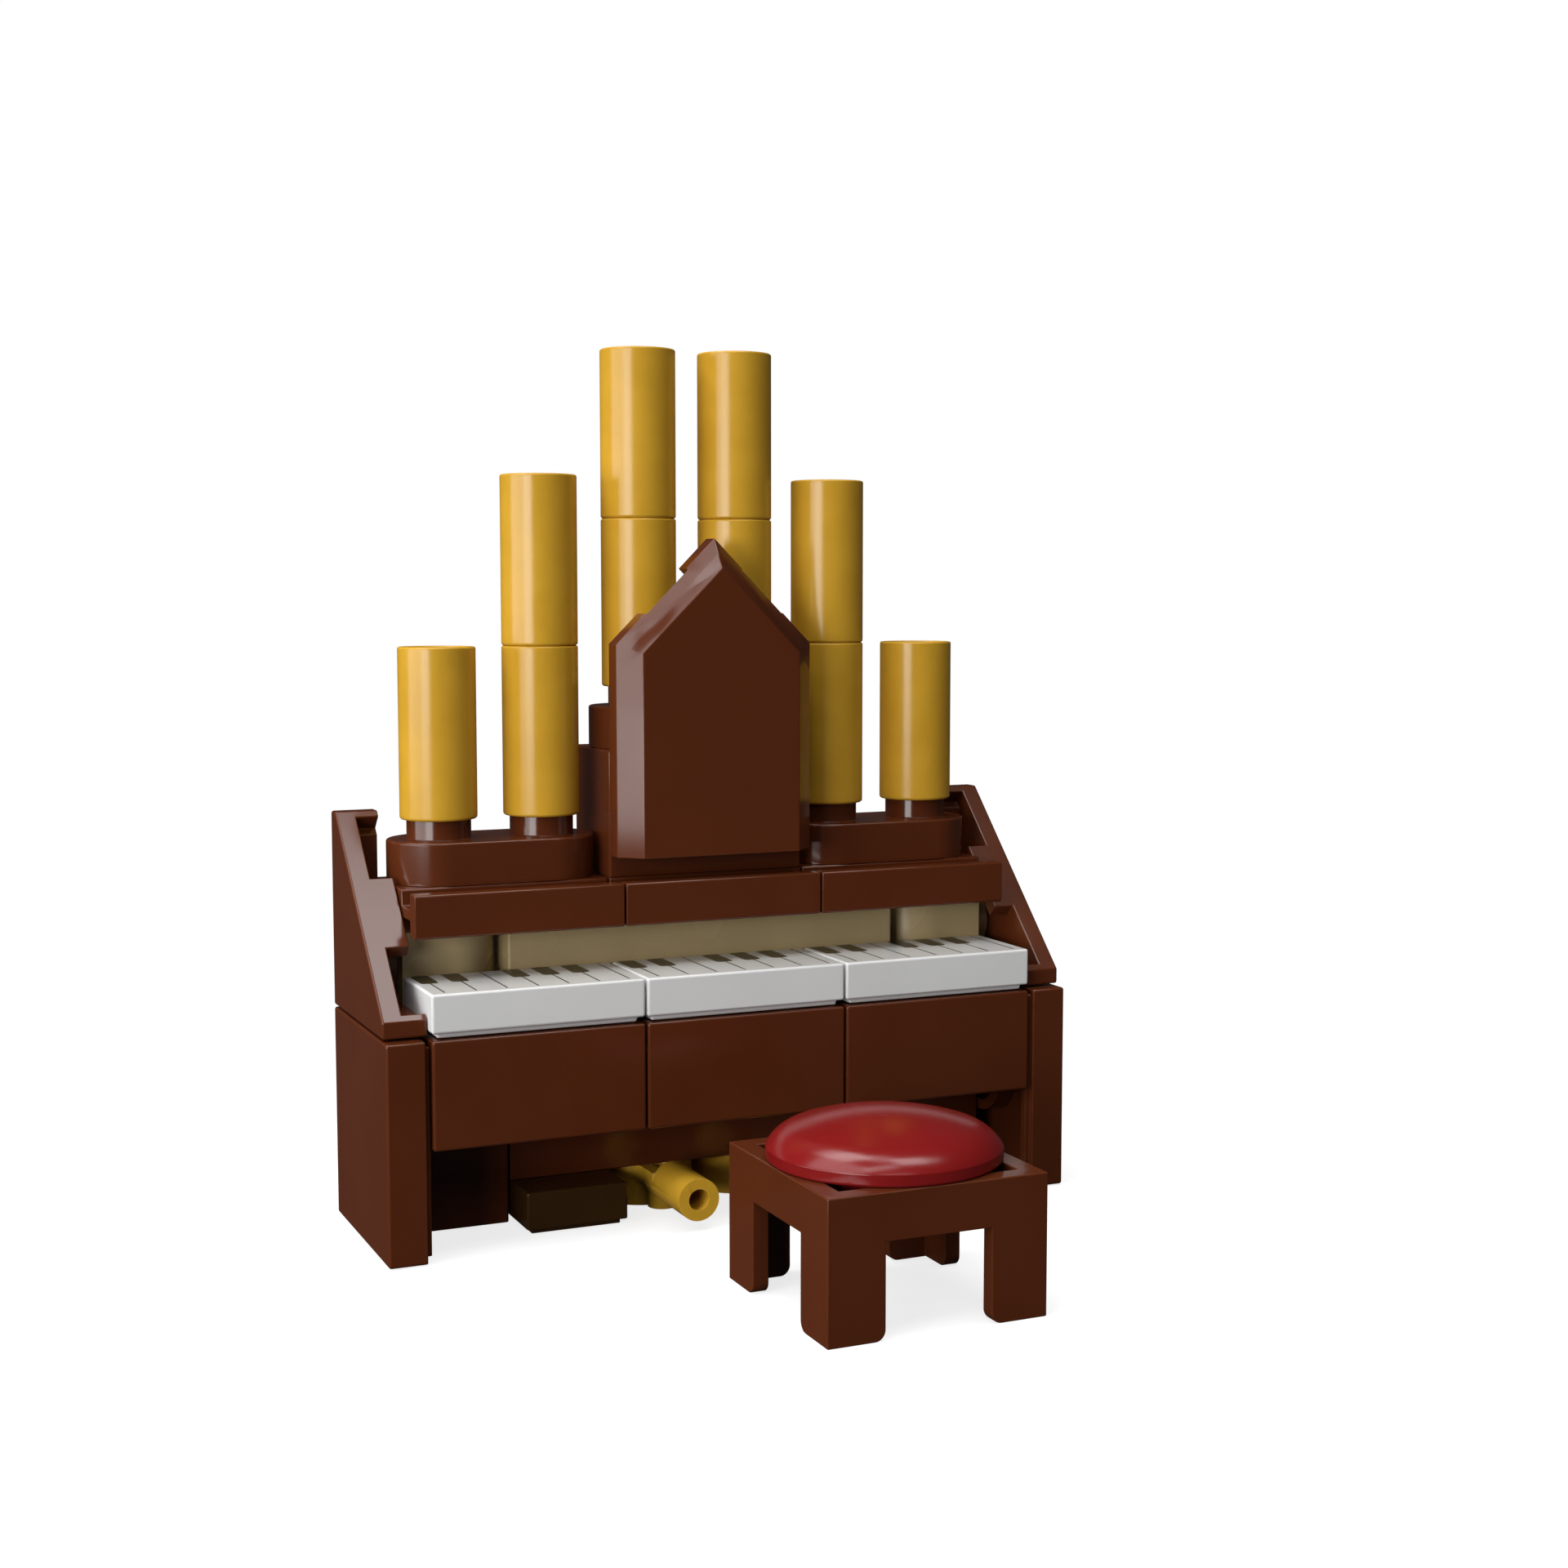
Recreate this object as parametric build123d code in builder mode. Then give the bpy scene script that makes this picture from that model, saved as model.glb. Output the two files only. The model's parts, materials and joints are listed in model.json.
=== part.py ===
from build123d import *
from math import asin, cos, radians, sin
import os

# Toy pipe organ built from moulded studded bricks, with a separate stool in front of it.
# Millimetres, +Z up, X across the keyboard, Y from the player towards the pipes.
# The origin is on the floor, at the middle of the whole footprint, stool included.

os.makedirs("parts", exist_ok=True)

# Brick system
module = 8.0
plate = 3.2
brick = 3 * plate
play = 0.08
edge_round = 0.2
stud_radius = 2.4
stud_height = 1.7
skin = 1.5
shell_wall = 1.2
tube_radius = 3.25
groove_height = 0.4
groove_depth = 0.45

# Rail plates over the keys
rail_web = 0.8
rail_flange = 1.4
rail_reach = 3.75

# Pipe bases and pipes
open_stud_radius = 2.4
open_stud_bore = 1.6
pipe_radius = 2.88
pipe_bore = 2.45
pipe_length = 12.8
pipe_web = 4.0
pipe_grip = 0.25
pipe_round = 0.25

# Crest
crest_straight = 2 * module
crest_chamfer = 1.6
crest_notch = 4.7

# Side wings
wing_nose = 1.2
wing_top = 1.3
wing_tooth = 6.3
wing_notch = 5.8

# Pedals and knobs
pedal_set_back = 4.0
pedal_length = 2 * module
knob_play = 0.05
bar_radius = 1.6
bar_bore = 0.8
bar_bore_depth = 5.0
bar_height = 2.4
bar_clearance = 2.55
neck_radius = 1.1
neck_bore = 0.7
neck_bore_depth = 1.2
neck_reach = 0.35
web_foot = 2.0
web_round = 1.6

# Stool
stool_side = 2 * module
stool_gap = 10.9
stool_shift = 1.7
stool_wall = 1.2
stool_rim = 1.5
stool_leg = 4.1
stool_apron = plate
stool_recess = 2.0
leg_round = 0.75
seat_play = 0.05
seat_rim = 0.85
seat_height = plate
shoulder_radius = 3.0
shoulder_slope = 60.0
seat_round = 0.3
spigot_play = 0.15

# Where things stand
stud_count_across = 6
stud_count_deep = 2
half_width = stud_count_across * module / 2
organ_depth = stud_count_deep * module
rear_reach = pedal_set_back + pedal_length
front_y = (stool_side + stool_gap - rear_reach) / 2
stool_y = front_y - stool_gap - stool_side / 2
back_row_y = front_y + 1.5 * module
back_row_front = front_y + module
panel_z = plate
deck_z = panel_z + brick
key_z = deck_z + plate
rail_z = key_z + 2 * plate
base_z = rail_z + plate
block_z = base_z
raised_base_z = block_z + brick
crest_stud_z = raised_base_z - module / 2
crest_z = crest_stud_z - module / 2
pair_centres = (-2 * module, 0.0, 2 * module)
side_names = {-1: "left", 1: "right"}
pair_names = ("left", "centre", "right")


def keep(piece, name):
    """Name a finished piece and write it to its own file."""
    piece.part.label = name
    export_step(piece.part, f"parts/{name}.step")


def along(plane):
    """The axis that leaves a plane at its origin."""
    return Axis(plane.origin, plane.z_dir)


def upper_edges(piece, plane):
    """Edges of the face furthest out from a plane, and the corner edges that run out to it."""
    axis = along(plane)
    return piece.faces().sort_by(axis)[-1].edges() + piece.edges().filter_by(axis)


def tile(plane, across, along_y, tube=False):
    """A smooth tile: rounded outer face, groove at the foot, hollow underneath."""
    with BuildPart() as piece:
        with BuildSketch(plane):
            Rectangle(across - 2 * play, along_y - 2 * play)
        extrude(amount=plate)
        fillet(upper_edges(piece, plane), radius=edge_round)
        with BuildSketch(plane):
            Rectangle(across, along_y)
            Rectangle(across - 2 * play - 2 * groove_depth, along_y - 2 * play - 2 * groove_depth, mode=Mode.SUBTRACT)
        extrude(amount=groove_height, mode=Mode.SUBTRACT)
        with BuildSketch(plane):
            Rectangle(across - 2 * play - 2 * shell_wall, along_y - 2 * play - 2 * shell_wall)
        extrude(amount=plate - skin, mode=Mode.SUBTRACT)
        if tube:
            with BuildSketch(plane):
                Circle(tube_radius)
                Circle(stud_radius, mode=Mode.SUBTRACT)
            extrude(amount=plate - skin)
    return piece


def rounded_block(plane, across, along_y, height, open_below=False):
    """A plain moulded block with softened edges, hollow underneath where its foot shows."""
    with BuildPart() as piece:
        with BuildSketch(plane):
            Rectangle(across - 2 * play, along_y - 2 * play)
        extrude(amount=height)
        fillet(upper_edges(piece, plane), radius=edge_round)
        if open_below:
            with BuildSketch(plane):
                Rectangle(across - 2 * play - 2 * shell_wall, along_y - 2 * play - 2 * shell_wall)
            extrude(amount=height - skin, mode=Mode.SUBTRACT)
    return piece


def side_panel(side):
    """Square tile on edge that closes one end of the case."""
    middle = (side * half_width, front_y + organ_depth / 2, key_z - organ_depth / 2)
    return tile(Plane(origin=middle, x_dir=(0, side, 0), z_dir=(side, 0, 0)), organ_depth, organ_depth, tube=True)


def side_wing(side):
    """Triangular tile above a side panel, with a hollow back and a toothed slope."""
    plane = Plane(origin=(side * half_width, front_y, key_z), x_dir=(0, side, 0), z_dir=(side, 0, 0))
    back = organ_depth - play
    nose_y = wing_nose - play
    top_z = play + wing_nose + (back - wing_top - nose_y)
    outline = [(nose_y, play), (back, play), (back, top_z), (back - wing_top, top_z), (nose_y, play + wing_nose)]
    slope_middle = ((nose_y + back - wing_top) / 2, (play + wing_nose + top_z) / 2)
    with BuildPart() as piece:
        with BuildSketch(plane):
            with BuildLine():
                Polyline([(side * y, z) for y, z in outline], close=True)
            make_face()
        extrude(amount=plate)
        fillet(upper_edges(piece, plane), radius=edge_round)
        with BuildSketch(plane):
            with BuildLine():
                Polyline([(side * y, z) for y, z in outline], close=True)
            make_face()
            offset(amount=-shell_wall, kind=Kind.INTERSECTION, mode=Mode.REPLACE)
        extrude(amount=plate - skin, mode=Mode.SUBTRACT)
        notch_step = (wing_tooth + wing_notch) / 2
        with BuildSketch(plane):
            with Locations(Location((side * slope_middle[0], slope_middle[1]), side * 45)):
                with Locations((-notch_step, 0), (notch_step, 0)):
                    Rectangle(wing_notch, 2 * (shell_wall + play) + edge_round)
        extrude(amount=plate - skin, mode=Mode.SUBTRACT)
    return piece


def wall_end(side):
    """Block at one end of the back wall of the keys: square outside, round inside, with a stud facing out."""
    centre_x = side * (half_width - module / 2)
    half = module / 2 - play
    with BuildPart() as piece:
        with BuildSketch(Plane.XY.offset(key_z)):
            with Locations((centre_x, back_row_y)):
                Circle(half)
            with Locations((centre_x + side * half / 2, back_row_y)):
                Rectangle(half, 2 * half)
        extrude(amount=2 * plate)
        stud_plane = Plane(origin=(side * (half_width - play), back_row_y, key_z + module / 2),
                           x_dir=(0, side, 0), z_dir=(side, 0, 0))
        with BuildSketch(stud_plane):
            Circle(stud_radius)
        extrude(amount=stud_height - play)
    return piece


def rail(centre_x):
    """Plate with a rail along its front: a thin web at mid height that carries a tall flange."""
    start = centre_x - module + play
    mid = rail_z + plate / 2
    flange_front = back_row_front - rail_reach + play
    with BuildPart() as piece:
        with BuildSketch(Plane.YZ.offset(start)):
            with Locations((back_row_y, mid)):
                RectangleRounded(module - 2 * play, plate, edge_round)
            with Locations(((flange_front + back_row_y) / 2, mid)):
                Rectangle(back_row_y - flange_front, rail_web)
            with Locations((flange_front + rail_flange / 2, mid)):
                RectangleRounded(rail_flange, plate, edge_round)
        extrude(amount=2 * module - 2 * play)
    return piece


def pipe_base(centre_x, height):
    """Round-ended plate with two open studs."""
    plane = Plane.XY.offset(height)
    with BuildPart() as piece:
        with BuildSketch(plane):
            with Locations((centre_x, back_row_y)):
                SlotOverall(2 * module - 2 * play, module - 2 * play)
        extrude(amount=plate)
        fillet(piece.faces().sort_by(Axis.Z)[-1].edges(), radius=edge_round)
        with BuildSketch(plane.offset(plate)):
            with Locations((centre_x, back_row_y)):
                with GridLocations(module, module, 2, 1):
                    Circle(open_stud_radius)
        extrude(amount=stud_height)
        with BuildSketch(plane.offset(plate)):
            with Locations((centre_x, back_row_y)):
                with GridLocations(module, module, 2, 1):
                    Circle(open_stud_bore)
        extrude(amount=stud_height, mode=Mode.SUBTRACT)
    return piece


def pipe_segment(centre_x, height):
    """One length of pipe: open at the top, with a shallow socket in its foot and a web between."""
    foot = Plane(origin=(centre_x, back_row_y, height))
    with BuildPart() as piece:
        with BuildSketch(foot):
            Circle(pipe_radius)
        extrude(amount=pipe_length)
        fillet(piece.edges().filter_by(GeomType.CIRCLE), radius=pipe_round)
        with BuildSketch(foot.offset(pipe_grip + pipe_web)):
            Circle(pipe_bore)
        extrude(amount=pipe_length - pipe_grip - pipe_web, mode=Mode.SUBTRACT)
        with BuildSketch(foot):
            Circle(pipe_bore)
        extrude(amount=pipe_grip, mode=Mode.SUBTRACT)
    return piece


def pedal(side):
    """Flat brown pedal that reaches out from under the kick panel."""
    middle = (side * 1.5 * module, front_y + pedal_set_back + pedal_length / 2, 0)
    return tile(Plane(origin=middle), module, pedal_length)


def knob(side):
    """Round gold foot with a hollow bar that points at the player, and a small hollow neck between them."""
    centre_x = side * module / 2
    knob_radius = module / 2 - knob_play
    neck_y = back_row_front - neck_reach
    bar_end = back_row_y - knob_radius - bar_clearance
    bar_length = bar_end - front_y
    bar_plane = Plane(origin=(centre_x, front_y, bar_height), x_dir=(-1, 0, 0), z_dir=(0, 1, 0))
    with BuildPart() as piece:
        with BuildSketch():
            with Locations((centre_x, back_row_y)):
                Circle(knob_radius)
        extrude(amount=plate)
        with BuildSketch():
            with Locations((centre_x, neck_y)):
                Circle(neck_radius)
        extrude(amount=plate)
        with BuildSketch(Plane.XY.offset(web_foot)) as web:
            with Locations((centre_x, back_row_y)):
                Circle(knob_radius)
            with Locations((centre_x, (bar_end + back_row_y) / 2)):
                Rectangle(2 * bar_radius, back_row_y - bar_end)
            fillet(web.vertices().sort_by(Axis.Y)[2:4], radius=web_round)
        extrude(amount=plate - web_foot)
        with BuildSketch(bar_plane):
            Circle(bar_radius)
        extrude(amount=bar_length)
        with BuildSketch(bar_plane.offset(bar_length)):
            Circle(bar_radius)
            with Locations((0, plate - bar_height + bar_radius)):
                Rectangle(2 * bar_radius, 2 * bar_radius, mode=Mode.SUBTRACT)
        extrude(amount=neck_y - bar_end)
        with BuildSketch(bar_plane):
            Circle(bar_bore)
        extrude(amount=bar_bore_depth, mode=Mode.SUBTRACT)
        with BuildSketch(Plane.XY.offset(plate)):
            with Locations((centre_x, neck_y)):
                Circle(neck_bore)
        extrude(amount=-neck_bore_depth, mode=Mode.SUBTRACT)
    return piece


# End panels, wings, wall ends and corner blocks
for side, side_name in side_names.items():
    keep(side_panel(side), f"side_panel_{side_name}")
    keep(side_wing(side), f"side_wing_{side_name}")
    keep(wall_end(side), f"key_wall_{side_name}")
    keep(pedal(side), f"pedal_{side_name}")
    keep(knob(side), f"pedal_knob_{side_name}")
    block_plane = Plane(origin=(side * (half_width - module / 2), back_row_y, 0))
    keep(rounded_block(block_plane, module, module, deck_z, open_below=True), f"corner_block_{side_name}")

# Pieces in three equal pairs of modules
for centre_x, pair_name in zip(pair_centres, pair_names):
    panel_plane = Plane(origin=(centre_x, front_y + plate, key_z - module / 2), x_dir=(1, 0, 0), z_dir=(0, -1, 0))
    keep(tile(panel_plane, 2 * module, module), f"front_panel_{pair_name}")
    key_plane = Plane(origin=(centre_x, front_y + module / 2, key_z))
    keep(tile(key_plane, 2 * module, module), f"keyboard_{pair_name}")
    keep(rail(centre_x), f"rail_{pair_name}")
    height = raised_base_z if centre_x == 0 else base_z
    keep(pipe_base(centre_x, height), f"pipe_base_{pair_name}")

# Kick panel
with BuildPart() as kick_panel:
    with BuildSketch(Plane.XY.offset(panel_z)):
        with Locations((0, back_row_y)):
            Rectangle(4 * module - 2 * play, module - 2 * play)
    extrude(amount=brick)
keep(kick_panel, "kick_panel")

# Bracket that carries the front of the case
bracket_lip = module - 2 * plate
with BuildPart() as front_bracket:
    with BuildSketch(Plane.XY.offset(deck_z)):
        with Locations((0, back_row_y)):
            Rectangle(2 * half_width - 2 * play, module)
    extrude(amount=plate)
    with BuildSketch(Plane.XY.offset(key_z)):
        with Locations((0, back_row_front - bracket_lip / 2)):
            Rectangle(2 * half_width - 2 * play, bracket_lip)
    extrude(amount=-module)
keep(front_bracket, "front_bracket")

# Plate on edge between the bracket and the front panels
with BuildPart() as panel_carrier:
    with BuildSketch(Plane.XY.offset(key_z - module + play)):
        with Locations((0, front_y + plate * 1.5)):
            Rectangle(2 * half_width - 2 * play, plate)
    extrude(amount=module - 2 * play)
keep(panel_carrier, "panel_carrier")

# Middle of the wall behind the keys
wall_plane = Plane(origin=(0, back_row_y, key_z))
keep(rounded_block(wall_plane, 4 * module, module, 2 * plate), "key_wall_centre")

# Block that carries the crest and the raised pipes
block_plane = Plane(origin=(0, back_row_y, block_z))
with BuildPart() as crest_block:
    with BuildSketch(block_plane):
        Rectangle(2 * module - 2 * play, module - 2 * play)
    extrude(amount=brick)
    fillet(upper_edges(crest_block, block_plane), radius=edge_round)
    crest_studs = Plane(origin=(0, back_row_front + play, crest_stud_z), x_dir=(1, 0, 0), z_dir=(0, -1, 0))
    with BuildSketch(crest_studs):
        with GridLocations(module, module, 2, 1):
            Circle(stud_radius)
    extrude(amount=stud_height - play)
keep(crest_block, "crest_block")

# Crest
crest_half = module - play
crest_back = Plane(origin=(0, back_row_front, crest_z), x_dir=(1, 0, 0), z_dir=(0, -1, 0))
crest_outline = [
    (-crest_half, play),
    (crest_half, play),
    (crest_half, crest_straight),
    (0, crest_straight + crest_half),
    (-crest_half, crest_straight),
]
with BuildPart() as crest:
    with BuildSketch(crest_back):
        with BuildLine():
            Polyline(crest_outline, close=True)
        make_face()
    extrude(amount=plate)
    front_edges = crest.faces().sort_by(Axis.Y)[0].edges()
    chamfer(front_edges.sort_by(Axis.Z)[1:], length=crest_chamfer)
    with BuildSketch(crest_back):
        with BuildLine():
            Polyline(crest_outline, close=True)
        make_face()
        offset(amount=-shell_wall, kind=Kind.INTERSECTION, mode=Mode.REPLACE)
    extrude(amount=plate - skin, mode=Mode.SUBTRACT)
    with BuildSketch(crest_back):
        for side in side_names:
            with Locations(Location((side * crest_half / 2, crest_straight + crest_half / 2), side * -45)):
                Rectangle(crest_notch, 2 * shell_wall)
    extrude(amount=plate - skin, mode=Mode.SUBTRACT)
keep(crest, "crest")

# Pipes, from left to right: how many lengths, and whether they stand on the raised base
pipe_lengths = (1, 2, 2, 2, 2, 1)
for number, lengths in enumerate(pipe_lengths, start=1):
    centre_x = (number - 0.5) * module - half_width
    on_raised = abs(centre_x) < module
    foot_z = (raised_base_z if on_raised else base_z) + plate + stud_height - pipe_grip
    for step in range(lengths):
        keep(pipe_segment(centre_x, foot_z + step * pipe_length), f"pipe_{number}_{'lower' if step == 0 else 'upper'}")

# Stool: an open box on four legs
stool_outer = stool_side - 2 * play
with BuildPart() as stool_frame:
    with BuildSketch():
        with Locations((stool_shift, stool_y)):
            Rectangle(stool_outer, stool_outer)
    extrude(amount=brick)
    with BuildSketch():
        with Locations((stool_shift, stool_y)):
            Rectangle(stool_outer - 2 * stool_wall, stool_outer - 2 * stool_wall)
    extrude(amount=brick - stool_apron, mode=Mode.SUBTRACT)
    with BuildSketch(Plane.XY.offset(brick)):
        with Locations((stool_shift, stool_y)):
            Rectangle(stool_outer - 2 * stool_rim, stool_outer - 2 * stool_rim)
    extrude(amount=-stool_recess, mode=Mode.SUBTRACT)
    gap = stool_outer - 2 * stool_leg
    for opening_plane in (Plane.XZ.offset(-stool_y), Plane.YZ.offset(stool_shift)):
        centre = stool_shift if opening_plane.z_dir.Y else stool_y
        with BuildSketch(opening_plane):
            with Locations((centre, (brick - stool_apron) / 2)):
                Rectangle(gap, brick - stool_apron)
        extrude(amount=stool_side, both=True, mode=Mode.SUBTRACT)
    feet = stool_frame.edges().group_by(Axis.Z)[0]
    across_x = feet.filter_by(Axis.Y).filter_by(lambda edge: abs(edge.center().X - stool_shift) < gap / 2 + play)
    across_y = feet.filter_by(Axis.X).filter_by(lambda edge: abs(edge.center().Y - stool_y) < gap / 2 + play)
    fillet(across_x + across_y, radius=leg_round)
keep(stool_frame, "stool_frame")

# Stool seat: a short upright rim, a round shoulder and a shallow dome, with a spigot in the recess
seat_radius = stool_side / 2 - seat_play
spigot_radius = stool_outer / 2 - stool_rim - spigot_play
spigot_foot = brick - stool_recess
seat_top = brick + seat_height
slope = radians(shoulder_slope)
shoulder_x = seat_radius - shoulder_radius * sin(slope)
shoulder_z = brick + seat_rim - shoulder_radius * cos(slope)
sink = shoulder_z - seat_top
dome_radius = (shoulder_radius**2 - shoulder_x**2 - sink**2) / (2 * (sink + shoulder_radius))
dome_z = seat_top - dome_radius
joint = asin(shoulder_x / (dome_radius - shoulder_radius))


def seat_arc(centre, radius, turn):
    """A point on a seat arc, where the surface has turned by this much from level."""
    return (centre[0] + radius * sin(turn), centre[1] + radius * cos(turn))


with BuildPart() as stool_seat:
    with BuildSketch(Plane(origin=(stool_shift, stool_y, 0), x_dir=(1, 0, 0), z_dir=(0, -1, 0))):
        with BuildLine():
            Polyline(
                (0, seat_top),
                (0, spigot_foot),
                (spigot_radius, spigot_foot),
                (spigot_radius, brick),
                (seat_radius, brick),
                (seat_radius, brick + seat_rim),
            )
            ThreePointArc(
                (seat_radius, brick + seat_rim),
                seat_arc((shoulder_x, shoulder_z), shoulder_radius, (slope + joint) / 2),
                seat_arc((0, dome_z), dome_radius, joint),
            )
            ThreePointArc(
                seat_arc((0, dome_z), dome_radius, joint),
                seat_arc((0, dome_z), dome_radius, joint / 2),
                (0, seat_top),
            )
        make_face()
    revolve(axis=Axis((stool_shift, stool_y, 0), (0, 0, 1)))
    outer_rings = stool_seat.edges().filter_by(GeomType.CIRCLE).sort_by(SortBy.RADIUS)[-2:]
    fillet(outer_rings, radius=seat_round)
keep(stool_seat, "stool_seat")
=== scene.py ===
# %% [markdown]
# A toy pipe organ of moulded studded bricks, with a stool that stands by itself.
#
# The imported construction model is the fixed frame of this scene. It already has every piece at its
# real size and place, in metres, so nothing here is placed by eye. What is left to make is what the
# eye sees: softened mould edges, turned surfaces that are round without facets, the printed keys,
# and plastics that catch the light the way moulded plastics do.

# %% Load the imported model
import json
from math import asin, cos, pi, radians, sin, tan, tau

import bmesh
import bpy
import numpy as np
from mathutils import Matrix, Quaternion, Vector

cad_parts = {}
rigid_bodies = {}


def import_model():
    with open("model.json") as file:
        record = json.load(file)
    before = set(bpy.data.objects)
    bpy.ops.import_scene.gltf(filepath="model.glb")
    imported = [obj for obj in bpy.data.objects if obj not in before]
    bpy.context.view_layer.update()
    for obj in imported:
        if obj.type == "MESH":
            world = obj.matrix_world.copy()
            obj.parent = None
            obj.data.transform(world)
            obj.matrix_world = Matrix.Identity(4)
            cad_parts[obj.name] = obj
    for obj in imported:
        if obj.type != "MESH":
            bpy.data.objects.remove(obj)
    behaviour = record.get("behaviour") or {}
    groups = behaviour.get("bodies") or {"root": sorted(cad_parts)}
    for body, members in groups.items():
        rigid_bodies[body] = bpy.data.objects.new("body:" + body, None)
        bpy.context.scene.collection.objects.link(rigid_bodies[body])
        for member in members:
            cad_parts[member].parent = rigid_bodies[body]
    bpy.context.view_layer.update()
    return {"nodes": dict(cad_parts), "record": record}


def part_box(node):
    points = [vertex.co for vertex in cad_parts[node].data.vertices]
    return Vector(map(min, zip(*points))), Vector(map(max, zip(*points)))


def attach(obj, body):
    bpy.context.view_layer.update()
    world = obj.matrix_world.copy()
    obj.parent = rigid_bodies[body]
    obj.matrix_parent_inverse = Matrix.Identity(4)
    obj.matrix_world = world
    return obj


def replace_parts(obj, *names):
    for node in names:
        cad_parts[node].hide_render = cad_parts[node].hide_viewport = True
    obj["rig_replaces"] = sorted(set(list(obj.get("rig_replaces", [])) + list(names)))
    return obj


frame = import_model()
MM = 0.001
scene_collection = bpy.context.scene.collection

# %% [markdown]
# The camera stands at table height, a little to the left of the keyboard and about 16 cm away. It
# tilts down by five degrees, so upright edges lean in only a little. Lens and place were worked out
# from the edges of the bricks, whose 8 mm grid is known.

# %% Camera
CAMERA_PLACE = Vector((-63.18, -143.51, 47.30)) * MM
CAMERA_TILT = 84.913
CAMERA_YAW = -24.199
CAMERA_LENS = 50.31
SENSOR_WIDTH = 36.0
NEAREST_SEEN = 0.01
FARTHEST_SEEN = 20.0

camera_data = bpy.data.cameras.new("table_camera")
camera_data.lens = CAMERA_LENS
camera_data.sensor_width = SENSOR_WIDTH
camera_data.clip_start = NEAREST_SEEN
camera_data.clip_end = FARTHEST_SEEN
camera = bpy.data.objects.new("table_camera", camera_data)
camera.location = CAMERA_PLACE
camera.rotation_euler = (radians(CAMERA_TILT), 0, radians(CAMERA_YAW))
scene_collection.objects.link(camera)
bpy.context.scene.camera = camera
bpy.context.scene.view_settings.view_transform = "Standard"
print("camera height in mm:", round(camera.location.z / MM, 1))

# %% [markdown]
# Soft light comes from plain panels in a dark room. Each panel is given by the direction it comes from,
# how many degrees it covers as seen from the object, and how bright its face looks. Its size follows
# from the tangent of half its angle, and the power it needs is brightness times area times pi. The
# glossy pieces show where panels must stand: low ones at the left draw the pale upright bands on the
# pipes, small bright ones overhead draw the two highlights on the seat and the light on the slopes. The
# low ones stand close to the object, because farther off their lower part would be under the floor.
# The last panel opens the shade at the back. Glossy faces that look backwards should stay dark, so it
# lights the object but is left out of mirrored rays.

# %% Light panels
LIT_POINT = Vector((0, 0, 30)) * MM
UPRIGHT = Vector((0, 0, 1))
PANELS = (
    # name, turn to the left, angle up, distance in metres, degrees wide, degrees high, roll, brightness
    ("low_front_left_panel", 52.5, 4, 0.4, 24, 19, 0, 9.1),
    ("low_left_panel", 71, 4, 0.4, 13, 19, 0, 4.8),
    ("low_back_left_panel", 93, 4, 0.4, 30, 18, 0, 4.6),
    ("middle_left_panel", 68, 22, 1.2, 15, 18, 0, 4.6),
    ("high_left_panel", 84, 48, 1.2, 48, 31, 0, 2.8),
    ("high_front_left_panel", 32, 62, 1.2, 25, 10, 32, 4.2),
    ("overhead_middle_panel", 70, 87, 1.2, 18, 16, 0, 2.7),
    ("overhead_back_left_panel", 127, 70.5, 1.2, 22, 20, -53, 6.9),
    ("high_back_left_panel", 149, 60, 1.2, 20, 10, -31, 3.0),
    ("overhead_front_right_panel", -37, 73, 1.2, 19, 17, -37, 6.9),
    ("high_right_panel", -59, 62, 1.2, 10, 14, -59, 2.8),
    ("front_panel", 14, 38, 1.2, 28, 18, 0, 2.1),
)
BACK_PANEL = ("back_panel", 174, 26, 1.2, 34, 26, 0, 5.0)


def light_panel(name, round_left, height_angle, distance, degrees_wide, degrees_high, roll, brightness):
    """A panel in the direction given by its turn to the left of the keyboard's front and its angle above
    the floor: x is minus sine, y is minus cosine of the turn, both times the cosine of the angle."""
    turn, rise = radians(round_left), radians(height_angle)
    away = Vector((-sin(turn) * cos(rise), -cos(turn) * cos(rise), sin(rise)))
    across = UPRIGHT.cross(away).normalized()
    across.rotate(Quaternion(away, radians(roll)))
    data = bpy.data.lights.new(name, "AREA")
    data.shape = "RECTANGLE"
    data.size = 2 * distance * tan(radians(degrees_wide) / 2)
    data.size_y = 2 * distance * tan(radians(degrees_high) / 2)
    data.energy = brightness * pi * data.size * data.size_y
    panel = bpy.data.objects.new(name, data)
    panel.location = LIT_POINT + away * distance
    panel.rotation_euler = Matrix((across, away.cross(across), away)).transposed().to_euler()
    scene_collection.objects.link(panel)
    return panel


panels = [light_panel(*row) for row in PANELS]
back_panel = light_panel(*BACK_PANEL)
back_panel.visible_glossy = False
print("lights:", [panel.name for panel in panels], back_panel.name)

# %% [markdown]
# A material is a small network of nodes. Four helpers keep its code short: one feeds an input, one makes
# a node and feeds all its inputs, one does sums, and one makes a smooth step, which turns a measure into
# a mask.

# %% Node helpers
def feed(tree, value, socket):
    """Gives an input its value: a link from another node, or a plain number, vector or colour."""
    if isinstance(value, bpy.types.NodeSocket):
        tree.links.new(value, socket)
    else:
        socket.default_value = (*value, 1) if socket.type == "RGBA" else value


def node(tree, kind, inputs=None, **settings):
    """One shader node with its settings, and what feeds its inputs, by their names or numbers."""
    made = tree.nodes.new(kind)
    for key, value in settings.items():
        setattr(made, key, value)
    for key, value in (inputs or {}).items():
        feed(tree, value, made.inputs[key])
    return made


def math_node(tree, operation, *values, clamp=False):
    """A sum or product of outputs or plain numbers; returns its result."""
    made = node(tree, "ShaderNodeMath", dict(enumerate(values)), operation=operation, use_clamp=clamp)
    return made.outputs[0]


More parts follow.
